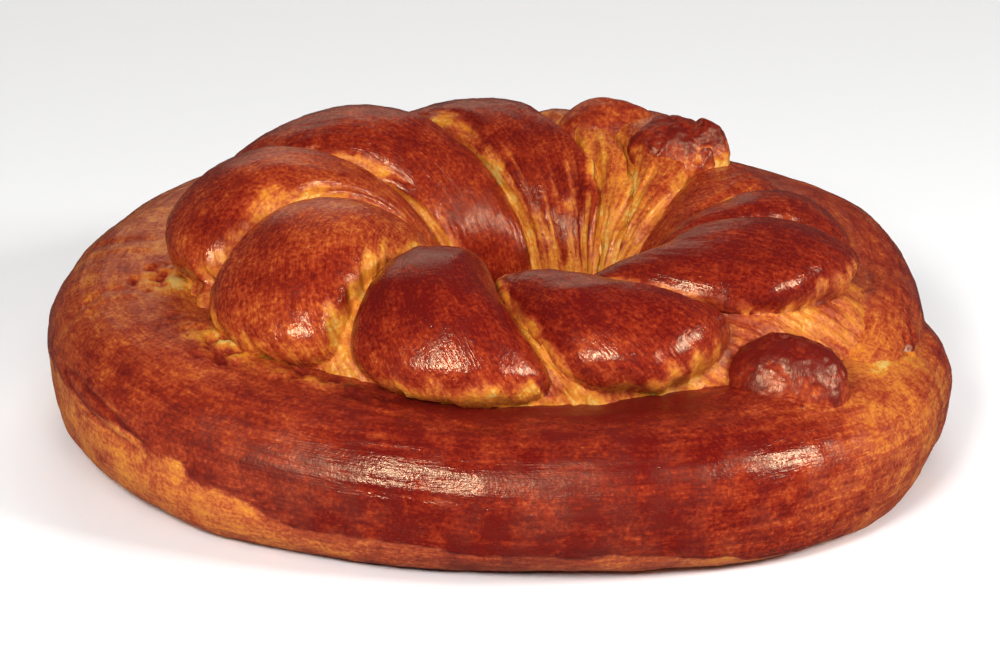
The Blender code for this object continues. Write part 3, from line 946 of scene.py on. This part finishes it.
    def skin(self) -> Skin:
        """All lobes side by side, with their relief and bake, and painted shade on the webs at the foot of the outer
        lobe walls.

        Returns:
            The skin, closed both ways.
        """
        strand = self.strand_angles()
        parts = [self.lobe_sheet(i, columns, strand) for i, columns in enumerate(self.lobe_columns())]
        points = np.concatenate([part[0] for part in parts], axis=1)
        ripe = np.concatenate([part[1] for part in parts], axis=1)
        azimuth = np.concatenate([part[2] for part in parts], axis=1)
        tones = [np.full(part[1].shape[1], lobe.tone) for part, lobe in zip(parts, self.lobes)]
        tone = np.concatenate(tones)[None, :]
        lean = np.interp(strand, (0.0, 90.0, 180.0, 360.0), (-28.0, 0.0, 28.0, -28.0))
        across = np.radians(azimuth + lean[:, None]) * 90.0
        along = np.broadcast_to(np.radians(strand)[:, None] * 50.0, across.shape).copy()
        skin = Skin(points, across, along, rows_close=True, columns_close=True)
        paper = flat_points(across, along)
        swell = DoughNoise(21).layered(points, (26.0, 26.0, 20.0), 2)
        streak = DoughNoise(22).layered(paper, (2.6, 22.0, 1.0), 2)
        blotch = DoughNoise(23).layered(points, (8.0, 8.0, 8.0), 3)
        jag = DoughNoise(24).layered(points, (3.6, 3.6, 3.6), 3)
        fibre = DoughNoise(25).layered(paper, (2.6, 17.0, 1.0), 3)
        knob = DoughNoise(26).layered(points, (8.0, 8.0, 7.0), 2)
        wobble = 0.50 * streak + 0.25 * blotch + 0.25 * jag
        edge = np.clip(ripe, 0.0, 3.0)
        crust = smooth(0.45, 1.35, edge + wobble)
        # Painted shade: the last term of web makes the webs browner and more orange at the foot of the lobe walls on
        # the outer side, where the creases are shaded.
        outer = 1.0 - smooth(90.0, 130.0, strand)[:, None]
        web = 0.22 - 0.20 * fibre + 0.14 * knob + 0.05 * jag + 0.14 * outer * np.exp(-((edge - 0.35) / 0.4) ** 2)
        for place, reach, change in self.web_tones:
            web = web + change * np.exp(-(close_to(azimuth, place) / reach) ** 2)
        signed = np.where(strand > 270.0, strand - 360.0, strand)[:, None]
        lit = 1.0 - smooth(14.0, 66.0, signed)
        tone = tone + np.maximum(self.outer_tone - tone, 0.0) * (1.0 - smooth(48.0, 84.0, signed))
        bake = web + (tone - 0.20 * lit - web) * crust + 0.09 * blotch * crust
        near_edge = np.exp(-(edge / 1.2) ** 2)
        height = 0.8 * swell * np.minimum(edge, 1.0) + streak * (0.20 + 0.55 * near_edge) + 0.18 * jag
        height = height + (1.0 - crust) * (0.9 * fibre + 0.9 * knob + 0.2 * jag)
        skin.raise_by(height)
        skin.points[..., 2] = np.maximum(skin.points[..., 2], self.lowest)
        skin.values = {"bake": bake, "glaze": 0.25 + 0.75 * crust}
        return skin


@dataclass(frozen=True)
class DoughLump:
    """A lump of dough: an ellipsoid with broad bumps and a knobbly skin."""

    name: str
    centre: tuple
    half_sizes: tuple
    turn: float
    bumps: float
    knobbly: float                      # mm of fine relief
    top_bake: float
    low_bake: float
    seed: int
    columns: int = 220
    rows: int = 110

    def skin(self) -> Skin:
        """The lump's grid with its relief and bake.

        Radius is the ellipsoid's times 1 + bumps * (cos(3 round + 0.7) cos^2(rise)
        + sin(2 round) sin(3 rise)), then turned about the upright.

        Returns:
            The skin, open at its two poles.
        """
        around = np.linspace(0.0, TURN, self.columns, endpoint=False)[None, :]
        rise = np.linspace(-0.5 * np.pi, 0.5 * np.pi, self.rows)[1:-1, None]
        pattern = np.cos(3.0 * around + 0.7) * np.cos(rise) ** 2 + np.sin(2.0 * around) * np.sin(3.0 * rise)
        size = 1.0 + self.bumps * pattern
        x = self.half_sizes[0] * np.cos(around) * np.cos(rise) * size
        y = self.half_sizes[1] * np.sin(around) * np.cos(rise) * size
        z = self.half_sizes[2] * np.sin(rise) * size
        angle = math.radians(self.turn)
        plan_x = x * math.cos(angle) - y * math.sin(angle)
        plan_y = x * math.sin(angle) + y * math.cos(angle)
        points = np.stack([plan_x, plan_y, z], axis=-1) + np.array(self.centre)
        across = np.broadcast_to(around * 18.0, z.shape).copy()
        along = np.broadcast_to(rise * 18.0, z.shape).copy()
        skin = Skin(points, across, along, rows_close=False, columns_close=True)
        knobs = DoughNoise(self.seed).layered(points, (7.0, 7.0, 6.0), 3)
        jag = DoughNoise(self.seed + 1).layered(points, (2.6, 2.6, 2.6), 2)
        skin.raise_by(self.knobbly * (knobs + 0.35 * jag))
        upward = np.broadcast_to(np.sin(rise), z.shape)
        bake = self.low_bake + (self.top_bake - self.low_bake) * smooth(0.0, 0.7, upward + 0.5 * knobs)
        skin.values = {"bake": bake + 0.08 * jag, "glaze": np.full(z.shape, 0.9)}
        return skin


@dataclass
class TrayBase:
    """The slab of dough under everything: the floor of the hollow and the underside."""

    centre: tuple = (1.7, 13.0)
    reach: float = 108.0
    top: float = 27.0
    rise: float = 3.0
    underside: float = 3.4              # just above the rope's flat
    columns: int = 256
    rows: int = 90

    def skin(self) -> Skin:
        """A round slab turned about the upright: underside, edge and floor.

        Returns:
            The skin, open at the middle of each face.
        """
        share = np.linspace(0.0, 1.0, self.rows)
        profile_at = (0.0, 0.40, 0.60, 1.0)
        reach = np.interp(share, profile_at, (0.4, self.reach, self.reach, 0.4))
        height = np.interp(share, profile_at, (self.underside, self.underside, self.top, self.top + self.rise))
        around = np.linspace(0.0, TURN, self.columns, endpoint=False)[None, :]
        x = self.centre[0] + reach[:, None] * np.cos(around)
        y = self.centre[1] + reach[:, None] * np.sin(around)
        z = np.broadcast_to(height[:, None], x.shape)
        points = np.stack([x, y, z], axis=-1)
        skin = Skin(points, x - self.centre[0], y - self.centre[1], rows_close=False, columns_close=True)
        pits = DoughNoise(51).layered(points, (9.0, 9.0, 9.0), 3)
        lower = 1.0 - smooth(0.42, 0.58, share)[:, None]
        inward = np.where(lower > 0.5, 0.25, 3.0)
        skin.raise_by(-np.abs(pits) * inward)
        bake = lower * (0.62 + 0.16 * pits) + (1.0 - lower) * (0.34 + 0.22 * pits)
        skin.values = {"bake": bake, "glaze": np.zeros(x.shape)}
        return skin


@dataclass
class Loaf:
    """The whole loaf: makes every piece, dresses it and ties it to the frame."""

    body: str = "root"
    node: str = "loaf"
    slot: str = "crust"
    rope: OuterRope = field(default_factory=OuterRope)
    wreath: TwistedWreath = field(default_factory=TwistedWreath)
    base: TrayBase = field(default_factory=TrayBase)
    lumps: tuple = (
        DoughLump("dough_ball", (90.0, -71.0, 49.0), (20.5, 16.5, 18.5), -12.0, 0.03, 0.7, 1.05, 0.68, 31),
        DoughLump("ball_skirt", (79.6, -80.3, 44.4), (24.0, 12.0, 9.5), -18.0, 0.05, 1.4, 0.85, 0.45, 39),
        DoughLump("knot_fold", (33.0, 72.0, 79.5), (20.5, 15.5, 18.0), 5.0, 0.02, 0.4, 0.68, 0.55, 33),
        DoughLump("knot_lump", (55.5, 52.5, 84.0), (15.5, 15.0, 14.0), -20.0, 0.05, 1.0, 0.88, 0.44, 35),
        DoughLump("knot_tip", (64.8, 50.4, 83.3), (9.6, 10.0, 14.5), 0.0, 0.08, 0.8, 0.92, 0.06, 37),
    )

    def shift(self) -> Array:
        """Millimetres from the maker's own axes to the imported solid's."""
        low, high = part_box(self.node)
        middle = np.array([low.x + high.x, low.y + high.y]) * 0.5 / MM
        plan = middle - self.rope.box_centre()
        return np.array([plan[0], plan[1], low.z / MM - self.rope.tray_flat])

    def pieces(self) -> list:
        """Make every piece.

        Returns:
            (object, finish) pairs.
        """
        shift = self.shift()
        rope_crust = Crust("rope_crust", streak_width=0.20, streak_length=1.0)
        wreath_crust = Crust("wreath_crust")
        lump_crust = Crust("knobbly_crust", streaks=0.2, mottling=0.9, blotch_size=0.006, roughness=0.30)
        base_crust = Crust("tray_crust", streaks=0.1, roughness=0.6)
        made = [(mesh_from_skin("outer_rope", self.rope.skin(), shift), rope_crust),
                (mesh_from_skin("twisted_wreath", self.wreath.skin(), shift), wreath_crust),
                (mesh_from_skin("tray_base", self.base.skin(), shift), base_crust)]
        for lump in self.lumps:
            made.append((mesh_from_skin(lump.name, lump.skin(), shift), lump_crust))
        return made

    def build(self) -> None:
        """Make, dress and tie every piece, and report each one."""
        finished = {}
        for piece, crust in self.pieces():
            if crust not in finished:
                finished[crust] = crust.material()
            piece.data.materials.append(finished[crust])
            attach(piece, self.body)
            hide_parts(self.node)
            LOG.info("%s: %d faces, finish %s", piece.name, len(piece.data.polygons), crust.name)


# ---- studio -----------------------------------------------------------------
@dataclass(frozen=True)
class SoftLight:
    """A square soft light aimed at the loaf."""

    name: str
    azimuth: float                      # degrees from the right, turning away from the viewer
    elevation: float
    distance: float                     # m
    size: float                         # m
    power: float                        # W
    shines: bool                        # whether the glaze mirrors it
    aim: tuple = (0.0, 0.0, 0.04)
    colour: tuple = (1.0, 1.0, 1.0)

    def place(self) -> None:
        """Put the light in the scene."""
        lamp = bpy.data.lights.new(self.name, "AREA")
        lamp.size = self.size
        lamp.energy = self.power
        lamp.color = self.colour
        turn, rise = math.radians(self.azimuth), math.radians(self.elevation)
        way = Vector((math.cos(rise) * math.cos(turn), math.cos(rise) * math.sin(turn), math.sin(rise)))
        aim = Vector(self.aim)
        spot = bpy.data.objects.new(self.name, lamp)
        spot.visible_glossy = self.shines
        spot.location = aim + way * self.distance
        spot.rotation_mode = "QUATERNION"
        spot.rotation_quaternion = (-way).to_track_quat("-Z", "Y")
        bpy.context.scene.collection.objects.link(spot)


@dataclass
class Studio:
    """Plain pale floor, soft lights and the camera."""

    floor_size: float = 6.0
    floor_colour: tuple = (0.95, 0.95, 0.95, 1.0)
    world_strength: float = 0.06
    camera_elevation: float = 21.0
    camera_roll: float = 2.8
    camera_distance: float = 1.3
    camera_aim: tuple = (-1.06, 0.46, 36.2)             # mm, in the maker's own axes
    shift: tuple = (0.0, 0.0, 0.0)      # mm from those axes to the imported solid's
    lens: float = 139.8
    lights: tuple = (
        SoftLight("left_light", -107.0, 31.0, 1.3, 0.28, 13.8, True),
        SoftLight("right_light", -20.0, 28.0, 1.3, 0.27, 11.0, True),
        SoftLight("front_light", -85.0, 38.0, 1.6, 0.7, 6.5, False),
        SoftLight("back_light", 100.0, 22.0, 1.8, 0.9, 1.6, True, colour=(1.0, 0.80, 0.62)),
        SoftLight("top_light", 90.0, 70.0, 1.8, 1.2, 1.5, False),
        SoftLight("floor_light", 90.0, 60.0, 2.6, 2.6, 115.0, False, (0.0, 2.8, 0.0)),
    )

    def build(self) -> None:
        """Make the floor, the world, the lights and the camera."""
        self.floor()
        self.world()
        for light in self.lights:
            light.place()
        self.camera()
        bpy.context.scene.view_settings.view_transform = "Standard"

    def floor(self) -> None:
        """A pale floor wide enough to fill the view."""
        half = 0.5 * self.floor_size
        mesh = bpy.data.meshes.new("floor")
        mesh.from_pydata([(-half, -half, 0.0), (half, -half, 0.0), (half, half, 0.0), (-half, half, 0.0)],
                         [], [(0, 1, 2, 3)])
        floor = bpy.data.objects.new("floor", mesh)
        bpy.context.scene.collection.objects.link(floor)
        paint = bpy.data.materials.new("pale_floor")
        paint.use_nodes = True
        shader = paint.node_tree.nodes["Principled BSDF"]
        shader.inputs["Base Color"].default_value = self.floor_colour
        shader.inputs["Roughness"].default_value = 0.9
        mesh.materials.append(paint)
        floor.visible_glossy = False

    def world(self) -> None:
        """Dim even light from all round."""
        world = bpy.data.worlds.new("studio")
        world.use_nodes = True
        background = world.node_tree.nodes["Background"]
        background.inputs["Color"].default_value = (1.0, 1.0, 1.0, 1.0)
        background.inputs["Strength"].default_value = self.world_strength
        bpy.context.scene.world = world

    def camera(self) -> None:
        """The camera, looking level along +Y and down by its elevation, rolled a little."""
        rise = math.radians(self.camera_elevation)
        roll = math.radians(self.camera_roll)
        back = Vector((0.0, -math.cos(rise), math.sin(rise)))
        right = Vector((1.0, 0.0, 0.0))
        up = back.cross(right)
        turned_right = right * math.cos(roll) + up * math.sin(roll)
        turned_up = up * math.cos(roll) - right * math.sin(roll)
        matrix = Matrix((turned_right, turned_up, back)).transposed().to_4x4()
        aim = (Vector(self.camera_aim) + Vector(self.shift)) * MM
        matrix.translation = aim + back * self.camera_distance
        lens = bpy.data.cameras.new("camera")
        lens.lens = self.lens
        camera = bpy.data.objects.new("camera", lens)
        camera.matrix_world = matrix
        bpy.context.scene.collection.objects.link(camera)
        bpy.context.scene.camera = camera


def main() -> None:
    """Build the loaf and the studio round it."""
    logging.basicConfig(level=logging.INFO, format="%(name)s: %(message)s")
    loaf = Loaf()
    loaf.build()
    Studio(shift=tuple(loaf.shift())).build()


if __name__ == "__main__":
    main()
